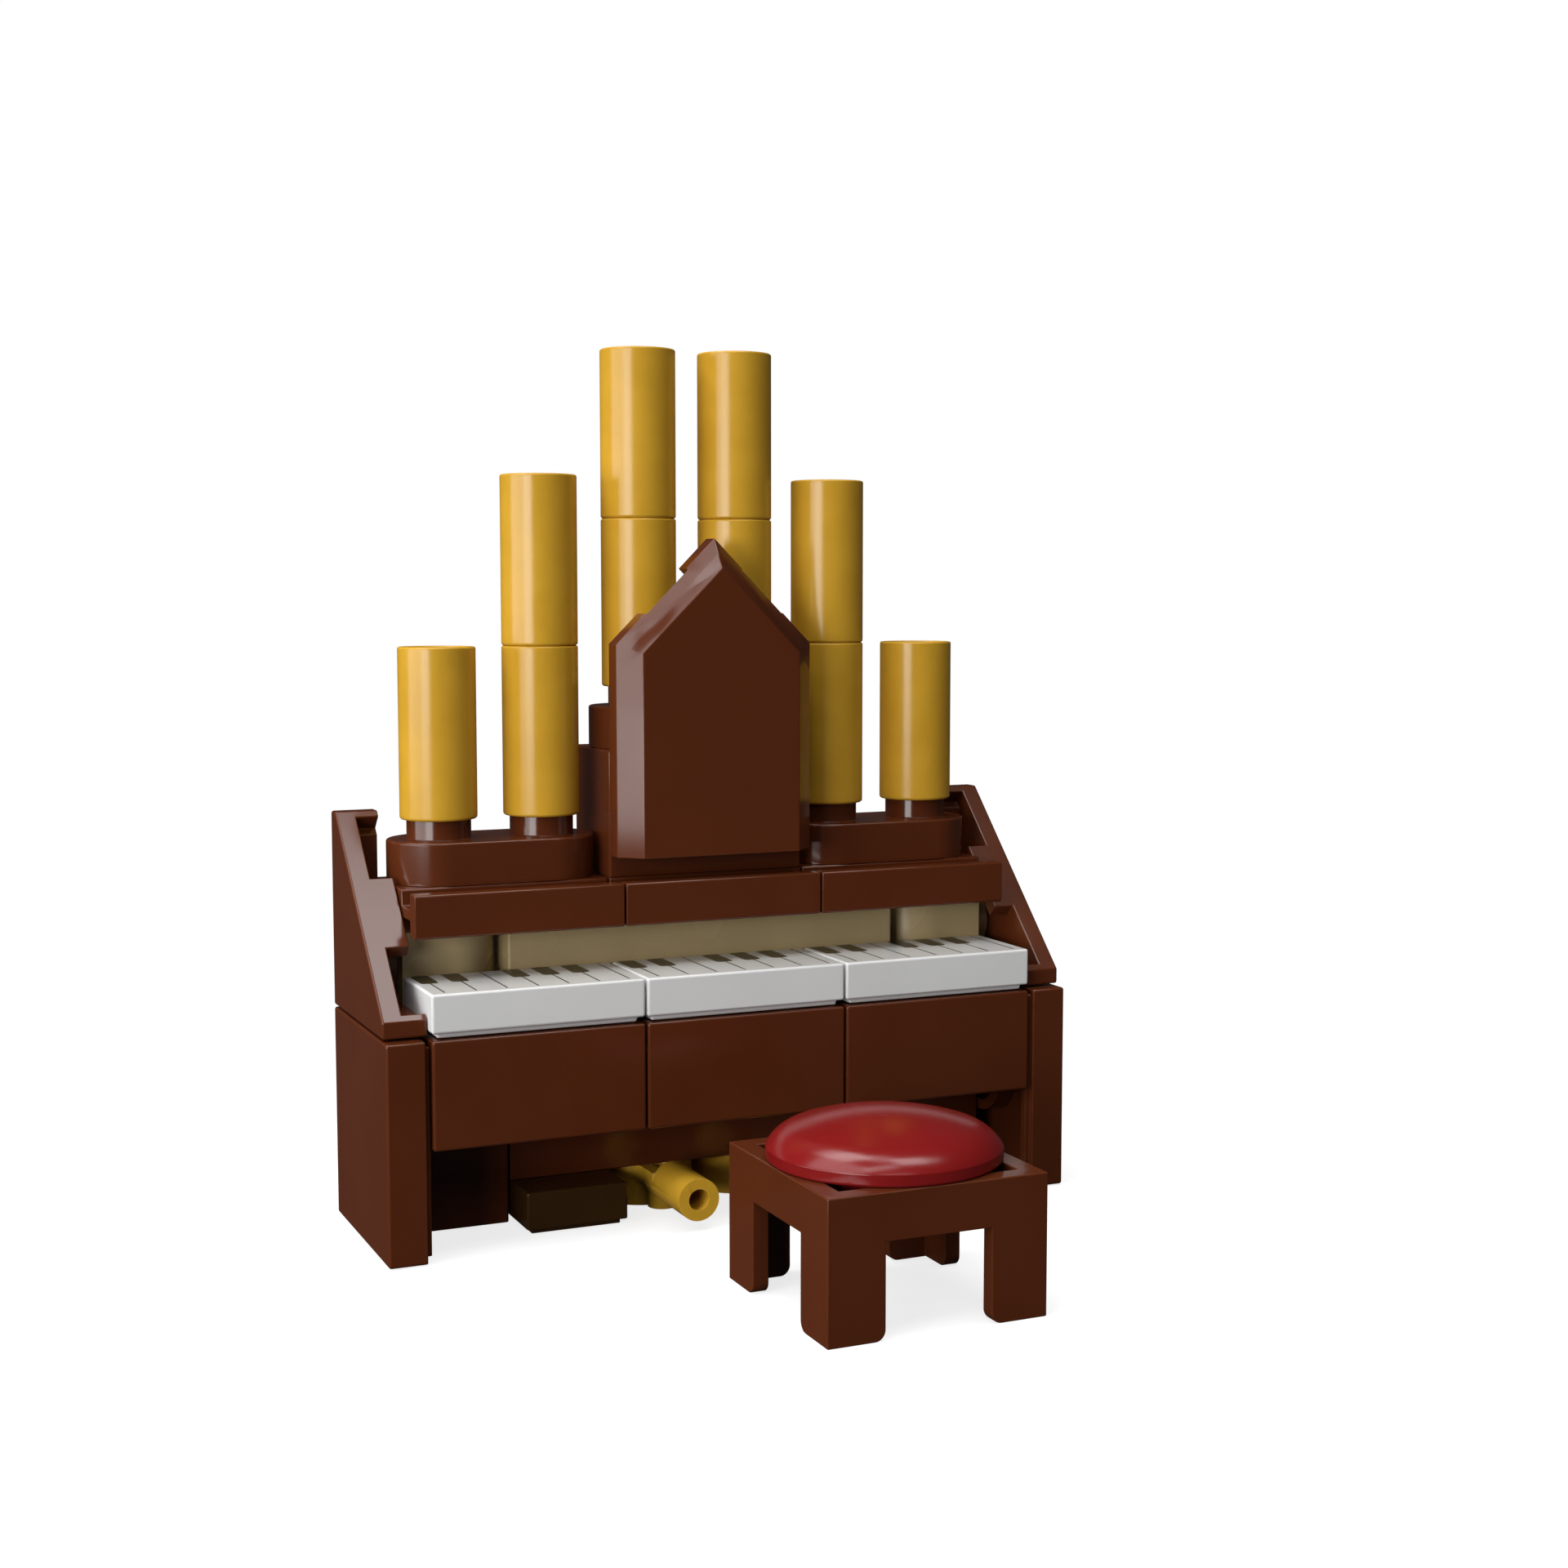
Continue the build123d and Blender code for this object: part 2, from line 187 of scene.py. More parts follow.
def ramp_node(tree, value, low, high):
    """A smooth step: nought below low, one above high."""
    inputs = {"Value": value, "From Min": low, "From Max": high}
    return node(tree, "ShaderNodeMapRange", inputs, interpolation_type="SMOOTHSTEP").outputs["Result"]


print("node helpers:", [helper.__name__ for helper in (feed, node, math_node, ramp_node)])

# %% [markdown]
# The floor and the space behind are plain white to the camera, and to anything seen through glass. That
# white is their own colour, because more lamp light would bleach the object too. Near the object the
# floor gives up a part of its white for the light that really falls on it, so the soft shadow under the
# legs stays. That part is divided by the light on the open floor, so that an unshaded spot is white too.
# Mirrored rays get only a small share of the white: nothing here is metal or glass, and in the
# photograph the glossy brown faces mirror a dark room.

# %% How white the background is
MIRRORED_WHITE = 0.03
ROOM_GREY = 0.02


def background_share(tree):
    """How white the background is for a ray: one for the camera and for glass, a small share for a mirrored
    ray. Also whether the camera or glass sees it, and whether they or a mirrored ray see it."""
    path = node(tree, "ShaderNodeLightPath").outputs
    seen = math_node(tree, "MAXIMUM", path["Is Camera Ray"], path["Is Transmission Ray"])
    mirrored = math_node(tree, "MULTIPLY", path["Is Glossy Ray"], MIRRORED_WHITE)
    looked_at = math_node(tree, "MAXIMUM", seen, path["Is Glossy Ray"])
    return math_node(tree, "MAXIMUM", seen, mirrored), seen, looked_at


world = bpy.data.worlds.new("plain_room")
world.use_nodes = True
tree = world.node_tree
tree.nodes.clear()
room_light = math_node(tree, "MAXIMUM", background_share(tree)[0], ROOM_GREY)
sky = node(tree, "ShaderNodeBackground", {"Color": (1, 1, 1), "Strength": room_light})
node(tree, "ShaderNodeOutputWorld", {"Surface": sky.outputs[0]})
bpy.context.scene.world = world
print("the room is white to the camera, and a share of", MIRRORED_WHITE, "to mirrored rays")

# %% Floor
FLOOR_REACH = 3.0
FLOOR_GREY = 0.08
SHADOW_DEPTH = 0.22
SHADOW_NEAR = 0.030
SHADOW_FAR = 0.085
OPEN_LIGHT = 0.62

floor_mesh = bpy.data.meshes.new("floor")
floor_corners = [
    (-FLOOR_REACH, -FLOOR_REACH, 0),
    (FLOOR_REACH, -FLOOR_REACH, 0),
    (FLOOR_REACH, FLOOR_REACH, 0),
    (-FLOOR_REACH, FLOOR_REACH, 0),
]
floor_mesh.from_pydata(floor_corners, [], [(0, 1, 2, 3)])
floor = bpy.data.objects.new("floor", floor_mesh)
scene_collection.objects.link(floor)

floor_material = bpy.data.materials.new("plain_white_floor")
floor_material.use_nodes = True
tree = floor_material.node_tree
tree.nodes.clear()
white_share, seen, looked_at = background_share(tree)
place = node(tree, "ShaderNodeTexCoord").outputs["Object"]
from_middle = node(tree, "ShaderNodeVectorMath", {0: place}, operation="LENGTH").outputs["Value"]
far = ramp_node(tree, from_middle, SHADOW_NEAR, SHADOW_FAR)
shaded = math_node(tree, "MULTIPLY", math_node(tree, "SUBTRACT", 1.0, far), SHADOW_DEPTH)
own_white = math_node(tree, "MULTIPLY", white_share, math_node(tree, "SUBTRACT", 1.0, shaded))
shown = math_node(tree, "MULTIPLY", seen, math_node(tree, "DIVIDE", shaded, OPEN_LIGHT))
unseen = math_node(tree, "MULTIPLY", math_node(tree, "SUBTRACT", 1.0, looked_at), FLOOR_GREY)
matt = node(tree, "ShaderNodeBsdfDiffuse", {"Color": math_node(tree, "ADD", shown, unseen)})
glow = node(tree, "ShaderNodeEmission", {"Strength": own_white})
both = node(tree, "ShaderNodeAddShader", {0: matt.outputs[0], 1: glow.outputs[0]})
node(tree, "ShaderNodeOutputMaterial", {"Surface": both.outputs[0]})
floor_mesh.materials.append(floor_material)
print("floor keeps a shadow out to", SHADOW_FAR / MM, "mm from the middle")

# %% [markdown]
# What all moulded plastics share is built once, as node groups. The first is relief: the mould's own
# fine grain, and the very shallow sinks that thick spots leave when they cool. Both are heights in
# metres, so a bump of a micrometre is written as one. Sinks can begin at a height above the floor, and
# that height can fall off to both sides, for a piece that is wavy only along its sloping upper edges.

# %% Group: mould relief
SINK_FADE = 1.2 * MM


def new_group(name, numbers, results):
    """An empty node group with named number inputs and outputs, and the nodes at its two ends."""
    group = bpy.data.node_groups.new(name, "ShaderNodeTree")
    for label, value in numbers.items():
        socket = group.interface.new_socket(label, in_out="INPUT", socket_type="NodeSocketFloat")
        socket.default_value = value
    for label in results:
        group.interface.new_socket(label, in_out="OUTPUT", socket_type="NodeSocketFloat")
    return group, node(group, "NodeGroupInput").outputs, node(group, "NodeGroupOutput").inputs


def noise_node(tree, place, scale, detail, distortion=0.0):
    """Noise at a place, between nought and one."""
    inputs = {"Vector": place, "Scale": scale, "Detail": detail, "Distortion": distortion}
    return node(tree, "ShaderNodeTexNoise", inputs).outputs["Fac"]


relief_inputs = {
    "Grain Scale": 6000.0,
    "Grain Height": 3e-7,
    "Sink Scale": 160.0,
    "Sink Height": 2e-6,
    "Sink From": -1.0,
    "Sink Slant": 0.0,
}
relief_group, entry, leave = new_group("mould_relief", relief_inputs, ["Height"])
place = node(relief_group, "ShaderNodeTexCoord").outputs["Object"]
grain = noise_node(relief_group, place, entry["Grain Scale"], detail=1.0)
sink = noise_node(relief_group, place, entry["Sink Scale"], detail=0.0)
spot = node(relief_group, "ShaderNodeSeparateXYZ", {0: place}).outputs
sideways = math_node(relief_group, "ABSOLUTE", spot["X"])
slanted = math_node(relief_group, "MULTIPLY", sideways, entry["Sink Slant"])
slanted = math_node(relief_group, "ADD", slanted, spot["Z"])
over_start = math_node(relief_group, "SUBTRACT", slanted, entry["Sink From"])
started = ramp_node(relief_group, over_start, 0.0, SINK_FADE)
grain_height = math_node(relief_group, "MULTIPLY", grain, entry["Grain Height"])
sink_height = math_node(relief_group, "MULTIPLY", sink, entry["Sink Height"])
sink_height = math_node(relief_group, "MULTIPLY", sink_height, started)
feed(relief_group, math_node(relief_group, "ADD", grain_height, sink_height), leave["Height"])
print("made", relief_group.name)

# %% [markdown]
# Fingers and other bricks rub the edges of a toy first. An edge is where a rounded-off copy of the
# surface would look another way than the surface itself, and that is what the second group measures.
# Noise breaks the mask up, because wear is never an even line.

# %% Group: rubbed edges
EDGE_SAMPLES = 4
EDGE_BAND = (0.01, 0.16)
BREAKUP_BAND = (0.35, 0.7)

rub_group, entry, leave = new_group("rubbed_edges", {"Width": 0.18 * MM, "Breakup Scale": 900.0}, ["Mask"])
rounded_off = node(rub_group, "ShaderNodeBevel", {"Radius": entry["Width"]}, samples=EDGE_SAMPLES).outputs[0]
surface = node(rub_group, "ShaderNodeNewGeometry").outputs["Normal"]
same = node(rub_group, "ShaderNodeVectorMath", {0: rounded_off, 1: surface}, operation="DOT_PRODUCT")
apart = math_node(rub_group, "SUBTRACT", 1.0, same.outputs["Value"], clamp=True)
edge = ramp_node(rub_group, apart, *EDGE_BAND)
place = node(rub_group, "ShaderNodeTexCoord").outputs["Object"]
patches = noise_node(rub_group, place, entry["Breakup Scale"], detail=3.0)
breakup = ramp_node(rub_group, patches, *BREAKUP_BAND)
feed(rub_group, math_node(rub_group, "MULTIPLY", edge, breakup), leave["Mask"])
print("made", rub_group.name)

# %% [markdown]
# No moulding is one flat colour. Pigment and plastic mix unevenly as they flow into the mould, which
# leaves cloudy, slightly drawn-out changes of tone. The group gives two masks, a wide cloud for whole
# faces and a fine streak, and each plastic decides how far its colour follows them.

# %% Group: pigment flow
DRAWN_OUT = (1.0, 1.0, 0.22)
TONE_BAND = (0.3, 0.7)

flow_inputs = {"Cloud Scale": 120.0, "Streak Scale": 700.0, "Swirl": 1.2}
flow_group, entry, leave = new_group("pigment_flow", flow_inputs, ["Cloud", "Streak"])
place = node(flow_group, "ShaderNodeTexCoord").outputs["Object"]
cloud = noise_node(flow_group, place, entry["Cloud Scale"], detail=2.0)
drawn_out = node(flow_group, "ShaderNodeMapping", {"Vector": place, "Scale": DRAWN_OUT}).outputs[0]
streak = noise_node(flow_group, drawn_out, entry["Streak Scale"], detail=3.0, distortion=entry["Swirl"])
feed(flow_group, ramp_node(flow_group, cloud, *TONE_BAND), leave["Cloud"])
feed(flow_group, ramp_node(flow_group, streak, *TONE_BAND), leave["Streak"])
print("made", flow_group.name)

# %% [markdown]
# Each plastic is one Principled shader with the three groups around it. Its colour runs between a deep
# and a light tone with the pigment flow and turns paler where edges are rubbed, and its roughness rises
# a little in the clouds and on rubbed edges. Numbers that don't change over the surface sit on the
# shader itself. The key tiles' tops, which look straight up, get a darker tone of their own: that is
# painted shade, standing in for the light that falls on them less.

# %% One moulded plastic
STREAK_SHARE = 0.25
CLOUD_ROUGHNESS = 0.12
WORN_ROUGHNESS = 0.25
TOP_BAND = (0.90, 0.99)
PLASTIC_SPECULAR = 0.4


def mix_colour(tree, amount, first, second):
    """A colour between two others; the colours may be outputs or plain values."""
    made = node(tree, "ShaderNodeMix", {"Factor": amount}, data_type="RGBA")
    sockets = [socket for socket in made.inputs if socket.type == "RGBA"]
    feed(tree, first, sockets[0])
    feed(tree, second, sockets[1])
    return next(socket for socket in made.outputs if socket.type == "RGBA")


def moulded_plastic(name, deep, light, rubbed, roughness, relief=None, flow=None, rub=0.35, painted_shade_top=None):
    """One plastic, from its deep and light tone, the tone of its rubbed edges, and how rough it is. Relief
    and flow are values for those groups, rub says how far edges are worn, and faces that look straight
    up can get a darker tone of their own, which is painted shade."""
    material = bpy.data.materials.new(name)
    material.use_nodes = True
    tree = material.node_tree
    height = node(tree, "ShaderNodeGroup", relief, node_tree=relief_group).outputs["Height"]
    pigment = node(tree, "ShaderNodeGroup", flow, node_tree=flow_group).outputs
    edges = node(tree, "ShaderNodeGroup", node_tree=rub_group).outputs["Mask"]
    tone = mix_colour(tree, pigment["Cloud"], deep, light)
    tone = mix_colour(tree, math_node(tree, "MULTIPLY", pigment["Streak"], STREAK_SHARE), tone, light)
    # Painted shade: faces that look straight up take a darker tone of their own.
    if painted_shade_top is not None:
        surface = node(tree, "ShaderNodeNewGeometry").outputs["Normal"]
        upwards = node(tree, "ShaderNodeSeparateXYZ", {0: surface}).outputs["Z"]
        tone = mix_colour(tree, ramp_node(tree, upwards, *TOP_BAND), tone, painted_shade_top)
    worn = math_node(tree, "MULTIPLY", edges, rub)
    rougher = math_node(tree, "MULTIPLY", pigment["Cloud"], roughness * CLOUD_ROUGHNESS)
    rougher = math_node(tree, "ADD", rougher, math_node(tree, "MULTIPLY", worn, WORN_ROUGHNESS))
    bump = node(tree, "ShaderNodeBump", {"Height": height, "Distance": 1.0, "Strength": 1.0})
    shader = tree.nodes["Principled BSDF"].inputs
    feed(tree, mix_colour(tree, worn, tone, rubbed), shader["Base Color"])
    feed(tree, math_node(tree, "ADD", rougher, roughness), shader["Roughness"])
    feed(tree, bump.outputs[0], shader["Normal"])
    feed(tree, PLASTIC_SPECULAR, shader["Specular IOR Level"])
    return material


print("a plastic shines at a specular level of", PLASTIC_SPECULAR)

# %% [markdown]
# The colours are the plastics' own, as pairs of a deep and a light tone; only the darker tone on the key
# tiles' tops is painted shade. The crest is the one piece with waves that the eye can see, along the
# bevels of its two slopes. Both slopes fall at 45 degrees, so on a bevel the height plus the distance
# from the middle always lies between the crest's top and a little less, and that is where its sinks start.

# %% Plastics
CREST_BEVEL_DEPTH = 2.3 * MM
crest_relief = {
    "Sink Scale": 380.0,
    "Sink Height": 1.1e-4,
    "Sink From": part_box("crest")[1].z - CREST_BEVEL_DEPTH,
    "Sink Slant": 1.0,
}
brown = moulded_plastic(
    "reddish_brown_plastic", (0.090, 0.0207, 0.0065), (0.099, 0.0235, 0.0074), (0.19, 0.074, 0.039), 0.14)
crest_brown = moulded_plastic(
    "crest_brown_plastic", (0.097, 0.0223, 0.0069), (0.107, 0.0253, 0.0079), (0.19, 0.074, 0.039), 0.14,
    relief=crest_relief)
dark_brown = moulded_plastic(
    "dark_brown_plastic", (0.036, 0.0157, 0.0036), (0.045, 0.0200, 0.0050), (0.10, 0.050, 0.022), 0.16)
dark_tan = moulded_plastic(
    "dark_tan_plastic", (0.45, 0.340, 0.172), (0.50, 0.380, 0.197), (0.63, 0.53, 0.34), 0.26)
# The darker tone on the key tiles' tops is painted shade.
white = moulded_plastic(
    "key_tile_plastic", (0.77, 0.77, 0.765), (0.80, 0.80, 0.795), (0.88, 0.88, 0.87), 0.24, rub=0.6,
    painted_shade_top=(0.60, 0.595, 0.58))
gold = moulded_plastic(
    "pearl_gold_plastic", (0.595, 0.325, 0.025), (0.655, 0.365, 0.031), (0.81, 0.56, 0.165), 0.22,
    flow={"Cloud Scale": 260.0, "Streak Scale": 1500.0, "Swirl": 2.0})
red = moulded_plastic(
    "dark_red_plastic", (0.185, 0.0070, 0.0074), (0.207, 0.0088, 0.0088), (0.43, 0.075, 0.075), 0.20)
ink = moulded_plastic(
    "key_ink", (0.036, 0.026, 0.014), (0.045, 0.033, 0.018), (0.10, 0.08, 0.05), 0.32, rub=0.1)
print("plastics:", [m.name for m in (brown, crest_brown, dark_brown, dark_tan, white, gold, red, ink)])

# %% [markdown]
# A mesh in this lesson is made in one way: whole arrays of points and faces, put into a mesh in one
# step. Turned pieces also hand over their exact surface directions, because a long wall that ends in
# a tiny rounding would otherwise be shaded as if the whole wall were bent.

# %% Put arrays into a mesh
def mesh_object(name, points, faces, directions=None):
    """A mesh object from an array of points and lists of faces, at the origin, unturned and unscaled.
    With directions its surface is smooth, and without them its faces are flat."""
    mesh = bpy.data.meshes.new(name)
    mesh.from_pydata(points.tolist(), [], faces)
    mesh.polygons.foreach_set("use_smooth", np.full(len(mesh.polygons), directions is not None))
    if directions is not None:
        mesh.normals_split_custom_set_from_vertices(directions.tolist())
    mesh.update()
    piece = bpy.data.objects.new(name, mesh)
    scene_collection.objects.link(piece)
    return piece


def finish_piece(piece, slot_name, material, *nodes):
    """Every new piece gets its material, rides on the one body and stands for the nodes that it replaces. Its
    slot name is not used.
    """
    piece.data.materials.clear()
    piece.data.materials.append(material)
    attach(piece, "root")
    if nodes:
        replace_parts(piece, *nodes)
    return piece


# %% [markdown]
# Pipes and the seat are turned shapes: a profile of radius and height, carried round an upright axis.
# A mould has no knife-sharp corners, so each corner of the profile is first replaced by a small arc,
# which also says which way the surface looks at each of its points.

# %% Profile with rounded corners
CORNER_STEPS = 5


def rounded_profile(corners, radii):
    """Each inner corner of a line is replaced by an arc that touches both of its sides: the arc starts
    radius times the tangent of half the turn before the corner. Directions point right of travel."""
    corners = np.asarray(corners, float)
    runs = np.diff(corners, axis=0)
    runs = runs / np.linalg.norm(runs, axis=1)[:, None]
    right = np.stack([runs[:, 1], -runs[:, 0]], axis=1)
    points, directions = [corners[:1]], [right[:1]]
    for i, radius in enumerate(radii):
        before, after, sideways = runs[i], runs[i + 1], right[i]
        turn = np.arctan2(before[0] * after[1] - before[1] * after[0], before @ after)
        start = corners[i + 1] - before * radius * np.tan(abs(turn) / 2)
        centre = start - sideways * radius * np.sign(turn)
        angle = np.linspace(0, turn, CORNER_STEPS)[:, None]
        side = sideways * np.cos(angle) + np.array((-sideways[1], sideways[0])) * np.sin(angle)
        points.append(centre + side * radius * np.sign(turn))
        directions.append(side)
    points.append(corners[-1:])
    directions.append(right[-1:])
    return np.concatenate(points), np.concatenate(directions)


# %% Carry a profile round an axis
def turned_piece(name, profile, directions, centre, around):
    """A profile of radius and height turned about an upright axis: x is the centre plus radius times
    the cosine of the turn, y the same with the sine, z the height. Both ends of the profile lie on the
    axis, and there the ring is one point, so the shape is closed."""
    turn = np.linspace(0, tau, around, endpoint=False)
    ring = np.stack([np.cos(turn), np.sin(turn), 0 * turn], axis=1)
    upright = np.array((0, 0, 1.0))
    middle = np.asarray(centre, float) + profile[:, 1][:, None] * upright
    points = middle[1:-1, None, :] + profile[1:-1, 0][:, None, None] * ring
    outward = directions[1:-1, 0][:, None, None] * ring + directions[1:-1, 1][:, None, None] * upright
    points = np.concatenate([points.reshape(-1, 3), middle[:1], middle[-1:]])
    axis_way = np.zeros((2, 3))
    axis_way[:, 2] = directions[0, 1], directions[-1, 1]
    outward = np.concatenate([outward.reshape(-1, 3), axis_way])
    rows = len(profile) - 2
    row, column = np.meshgrid(np.arange(rows - 1), np.arange(around), indexing="ij")
    after = (column + 1) % around
    quads = np.stack([row * around + column, row * around + after,
                      (row + 1) * around + after, (row + 1) * around + column], axis=2).reshape(-1, 4)
    first, second = np.arange(around), (np.arange(around) + 1) % around
    foot = np.stack([second, first, np.full(around, rows * around)], axis=1)
    last_ring = (rows - 1) * around
    head = np.stack([last_ring + first, last_ring + second, np.full(around, rows * around + 1)], axis=1)
    return mesh_object(name, points, quads.tolist() + foot.tolist() + head.tolist(), outward)


# %% [markdown]
# A pipe length is a gold tube with a thin rim, open at the top, closed by a web inside, with a shallow
# socket at the foot that grips the stud or pipe below. Real ones are turned-looking mouldings, so they
# are replaced by turned surfaces whose rims are rounded by a tenth of a millimetre or two.

# %% Pipes
PIPE_BORE = 2.45 * MM
PIPE_WEB = 4.0 * MM
PIPE_GRIP = 0.25 * MM
PIPE_FOOT_ROUND = 0.22 * MM
PIPE_RIM_ROUND = 0.16 * MM
PIPE_AROUND = 96
INNER_ROUND = 0.08 * MM


def foot_centre(low, high):
    """The middle of a box's underside."""
    return (low.x + high.x) / 2, (low.y + high.y) / 2, low.z


def pipe(name):
    """A pipe length with the size and place of its node."""
    low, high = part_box(name)
    outer = (high.x - low.x) / 2
    length = high.z - low.z
    corners = [
        (0, PIPE_GRIP),
        (PIPE_BORE, PIPE_GRIP),
        (PIPE_BORE, 0),
        (outer, 0),
        (outer, length),
        (PIPE_BORE, length),
        (PIPE_BORE, PIPE_GRIP + PIPE_WEB),
        (0, PIPE_GRIP + PIPE_WEB),
    ]
    radii = [INNER_ROUND, INNER_ROUND, PIPE_FOOT_ROUND, PIPE_RIM_ROUND, PIPE_RIM_ROUND, INNER_ROUND]
    profile, directions = rounded_profile(corners, radii)
    piece = turned_piece(name + "_turned", profile, directions, foot_centre(low, high), PIPE_AROUND)
    return finish_piece(piece, "gold_plastic", gold, name)


pipes = [pipe(name) for name in sorted(frame["nodes"]) if name.startswith("pipe_") and "base" not in name]
print("pipes:", len(pipes), "faces each:", len(pipes[0].data.polygons))

# %% [markdown]
# The seat is one shiny moulding: a low upright rim, a soft shoulder and a shallow dome, with a spigot
# below that sits in the stool's recess. Three arcs that touch each other make the outer line, so the
# long highlights run over it without a break.

# %% Seat
SEAT_RIM = 0.85 * MM
SEAT_UNDER_ROUND = 0.22 * MM
SEAT_CREASE_ROUND = 0.22 * MM
SHOULDER_RADIUS = 3.0 * MM
SHOULDER_SLOPE = radians(60)
SHOULDER_STEPS = 24
DOME_STEPS = 40
SEAT_AROUND = 160
SPIGOT_RADIUS = 6.27 * MM
SPIGOT_DEPTH = 2.0 * MM

low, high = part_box("stool_seat")
seat_radius = (high.x - low.x) / 2
seat_top = high.z - low.z
crease = SPIGOT_DEPTH + SEAT_RIM
shoulder_x = seat_radius - SHOULDER_RADIUS * sin(SHOULDER_SLOPE)
shoulder_z = crease - SHOULDER_RADIUS * cos(SHOULDER_SLOPE)
sink = shoulder_z - seat_top
dome_radius = (SHOULDER_RADIUS**2 - shoulder_x**2 - sink**2) / (2 * (sink + SHOULDER_RADIUS))
joint = asin(shoulder_x / (dome_radius - SHOULDER_RADIUS))


def arc(centre, radius, start, end, steps):
    """Points on an arc and the directions they face, with the turn counted from straight up: the centre
    plus radius times sine and cosine."""
    turn = np.linspace(start, end, steps)
    way = np.stack([np.sin(turn), np.cos(turn)], axis=1)
    return np.asarray(centre) + radius * way, way


shoulder, shoulder_way = arc((shoulder_x, shoulder_z), SHOULDER_RADIUS, SHOULDER_SLOPE, joint, SHOULDER_STEPS)
dome, dome_way = arc((0, seat_top - dome_radius), dome_radius, joint, 0, DOME_STEPS)
wall_corners = [
    (0, 0),
    (SPIGOT_RADIUS, 0),
    (SPIGOT_RADIUS, SPIGOT_DEPTH),
    (seat_radius, SPIGOT_DEPTH),
    (seat_radius, crease),
    tuple(shoulder[1]),
]
wall_radii = [INNER_ROUND, INNER_ROUND, SEAT_UNDER_ROUND, SEAT_CREASE_ROUND]
wall, wall_way = rounded_profile(wall_corners, wall_radii)
profile = np.concatenate([wall[:-1], shoulder[1:], dome[1:]])
directions = np.concatenate([wall_way[:-1], shoulder_way[1:], dome_way[1:]])
profile[-1, 0] = 0
seat = turned_piece("stool_seat_turned", profile, directions, foot_centre(low, high), SEAT_AROUND)
finish_piece(seat, "red_plastic", red, "stool_seat")
print("dome radius in mm:", round(dome_radius / MM, 2))

# %% [markdown]
# The bricks themselves have the right shape already, but a few edges of the construction model are
# still sharp, and it is made of loose triangles. A copy is merged, flat areas are joined into whole
# faces, and every sharp edge gets a rounding of a tenth of a millimetre, which is what draws the thin
# pale line along the edges of real bricks. The key tiles are rounded three times as much.

# %% Soften a moulded piece
MERGE_DISTANCE = 1e-7
FLAT_ANGLE = radians(0.5)
SHARP_ANGLE = radians(40)
EDGE_STEPS = 3
ROUND_PROFILE = 0.5
AREA_WEIGHT = 50


def moulded_copy(name, rounding):
    """A merged copy of a node's mesh with its sharp edges rounded by the given radius."""
    mesh = frame["nodes"][name].data.copy()
    mesh.name = name + "_moulded"
    work = bmesh.new()
    work.from_mesh(mesh)
    bmesh.ops.remove_doubles(work, verts=work.verts, dist=MERGE_DISTANCE)
    bmesh.ops.dissolve_limit(work, angle_limit=FLAT_ANGLE, verts=work.verts, edges=work.edges)
    inner = [edge for edge in work.edges if len(edge.link_faces) == 2]
    sharp = [edge for edge in inner if edge.calc_face_angle() > SHARP_ANGLE]
    bmesh.ops.bevel(work, geom=sharp, offset=rounding, offset_type="OFFSET",
                    segments=EDGE_STEPS, profile=ROUND_PROFILE, affect="EDGES", clamp_overlap=True)
    for face in work.faces:
        face.smooth = True
    for edge in work.edges:
        edge.smooth = True
    work.to_mesh(mesh)
    work.free()
    for left_over in ("custom_normal", "sharp_edge", "sharp_face"):
        if left_over in mesh.attributes:
            mesh.attributes.remove(mesh.attributes[left_over])
    mesh.update()
    piece = bpy.data.objects.new(name + "_moulded", mesh)
    scene_collection.objects.link(piece)
    weigh = piece.modifiers.new("flat faces stay flat", "WEIGHTED_NORMAL")
    weigh.mode = "FACE_AREA"
    weigh.weight = AREA_WEIGHT
    return piece


# %% All moulded pieces
BRICK_ROUNDING = 0.10 * MM
KEY_TILE_ROUNDING = 0.30 * MM

slot_of = {row["node"]: row["material_slot"] for row in frame["record"]["subparts"]}
material_of = {
    "brown_plastic": brown,
    "dark_brown_plastic": dark_brown,
    "gold_plastic": gold,
    "white_plastic": white,
    "tan_plastic": dark_tan,
    "red_plastic": red,
}
turned = {name for piece in scene_collection.objects for name in piece.get("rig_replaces", [])}
moulded = [name for name in sorted(frame["nodes"]) if name not in turned]
for name in moulded:
    piece = moulded_copy(name, KEY_TILE_ROUNDING if name.startswith("keyboard") else BRICK_ROUNDING)
    material = crest_brown if name == "crest" else material_of[slot_of[name]]
    finish_piece(piece, slot_of[name], material, name)
print("softened pieces:", len(moulded))

# %% [markdown]
# The keys are printed on the three white tiles, seven gaps to a tile. Each gap is a hairline that runs
# towards the player, and five of the seven carry a black key with two rounded corners at its front.
# The print is its own thin piece, so that its outline stays crisp at any distance.

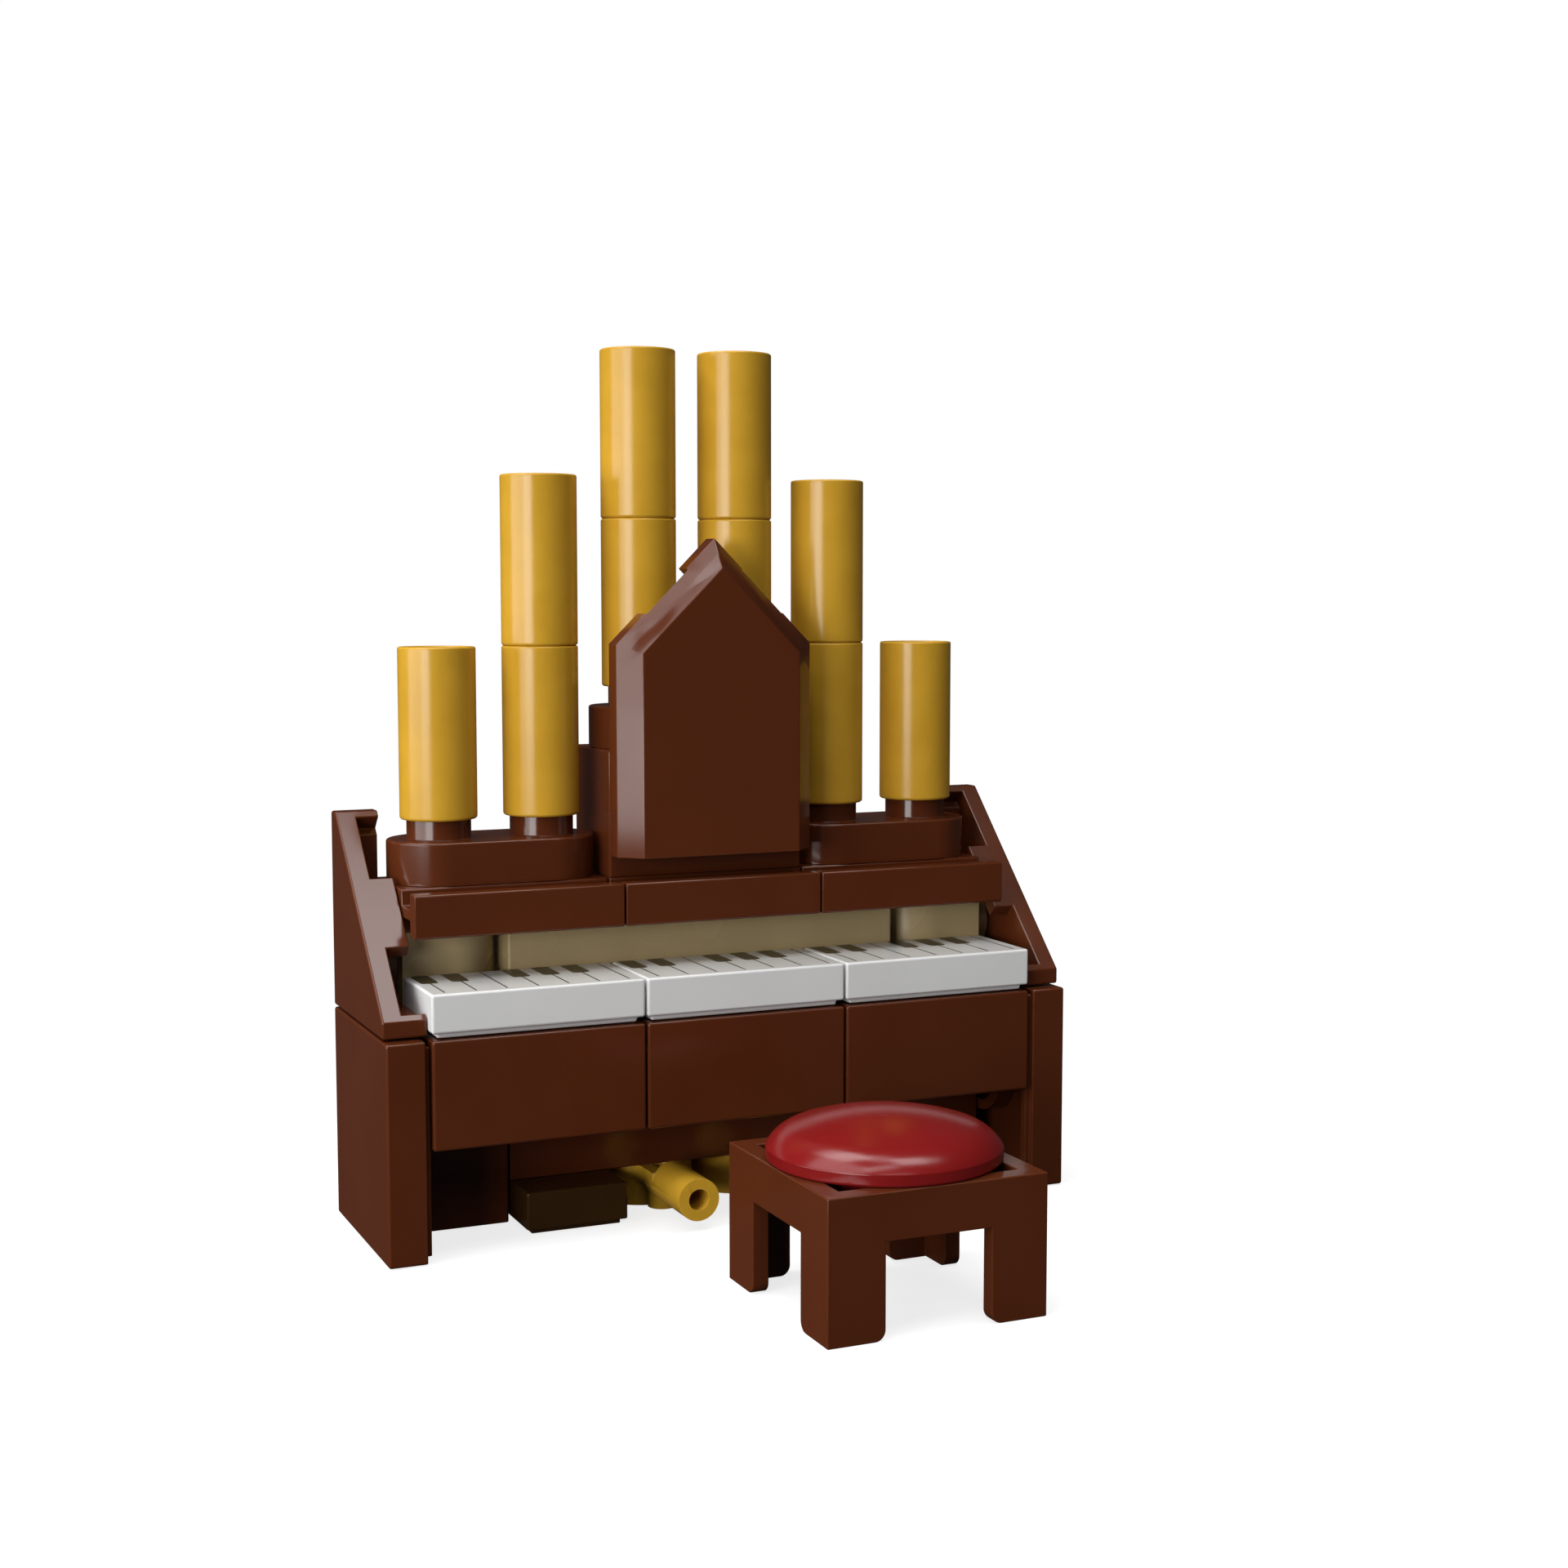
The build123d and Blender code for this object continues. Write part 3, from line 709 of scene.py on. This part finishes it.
# %% Outlines and slabs of a print
def rounded_key_outline(left, right, front, back, corner, steps=6):
    """A rectangle whose two front corners are arcs: centre plus corner radius times cosine and sine."""
    angle = np.linspace(0, pi / 2, steps)
    inwards, backwards = corner - corner * np.cos(angle), corner - corner * np.sin(angle)
    front_left = np.stack([left + inwards, front + backwards], axis=1)
    inwards, backwards = corner - corner * np.sin(angle), corner - corner * np.cos(angle)
    front_right = np.stack([right - inwards, front + backwards], axis=1)
    return np.concatenate([front_left, front_right, [(right, back), (left, back)]])


def flat_print(name, outlines, base, height):
    """Thin slabs with the given outlines: the outline at two heights, a face on each and a wall between."""
    points, faces, start = [], [], 0
    for outline in outlines:
        count = len(outline)
        low_ring = np.column_stack([outline, np.full(count, base)])
        high_ring = np.column_stack([outline, np.full(count, base + height)])
        points += [low_ring, high_ring]
        first = np.arange(count)
        second = (first + 1) % count
        walls = np.stack([first, second, second + count, first + count], axis=1) + start
        faces += walls.tolist()
        faces.append((first + count + start).tolist())
        faces.append((first[::-1] + start).tolist())
        start += 2 * count
    return mesh_object(name, np.concatenate(points), faces)


# %% Printed keys
TILE_LENGTH = 16.0 * MM
KEY_GAPS = 7
KEY_PITCH = TILE_LENGTH / KEY_GAPS
FIRST_GAP = 1.1 * MM
BLACK_GAPS = (0, 1, 3, 4, 5)
BLACK_WIDTH = 1.3 * MM
BLACK_LENGTH = 3.4 * MM
BLACK_CORNER = 0.3 * MM
LINE_WIDTH = 0.11 * MM
LINE_FRONT = 0.62 * MM
PRINT_BACK = 0.12 * MM
PRINT_SUNK = 0.006 * MM
PRINT_THICKNESS = 0.018 * MM

for name in ("keyboard_left", "keyboard_centre", "keyboard_right"):
    low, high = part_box(name)
    front, back = low.y + LINE_FRONT, high.y - PRINT_BACK
    outlines = []
    for gap in range(KEY_GAPS):
        middle = low.x + FIRST_GAP + gap * KEY_PITCH
        line_back = back
        if gap in BLACK_GAPS:
            line_back = high.y - BLACK_LENGTH
            left, right = middle - BLACK_WIDTH / 2, middle + BLACK_WIDTH / 2
            outlines.append(rounded_key_outline(left, right, line_back, back, BLACK_CORNER))
        left, right = middle - LINE_WIDTH / 2, middle + LINE_WIDTH / 2
        outlines.append(np.array([(left, front), (right, front), (right, line_back), (left, line_back)]))
    piece = flat_print("printed_" + name, outlines, high.z - PRINT_SUNK, PRINT_THICKNESS)
    finish_piece(piece, "white_plastic", ink)
print("key gaps printed:", KEY_GAPS * 3)
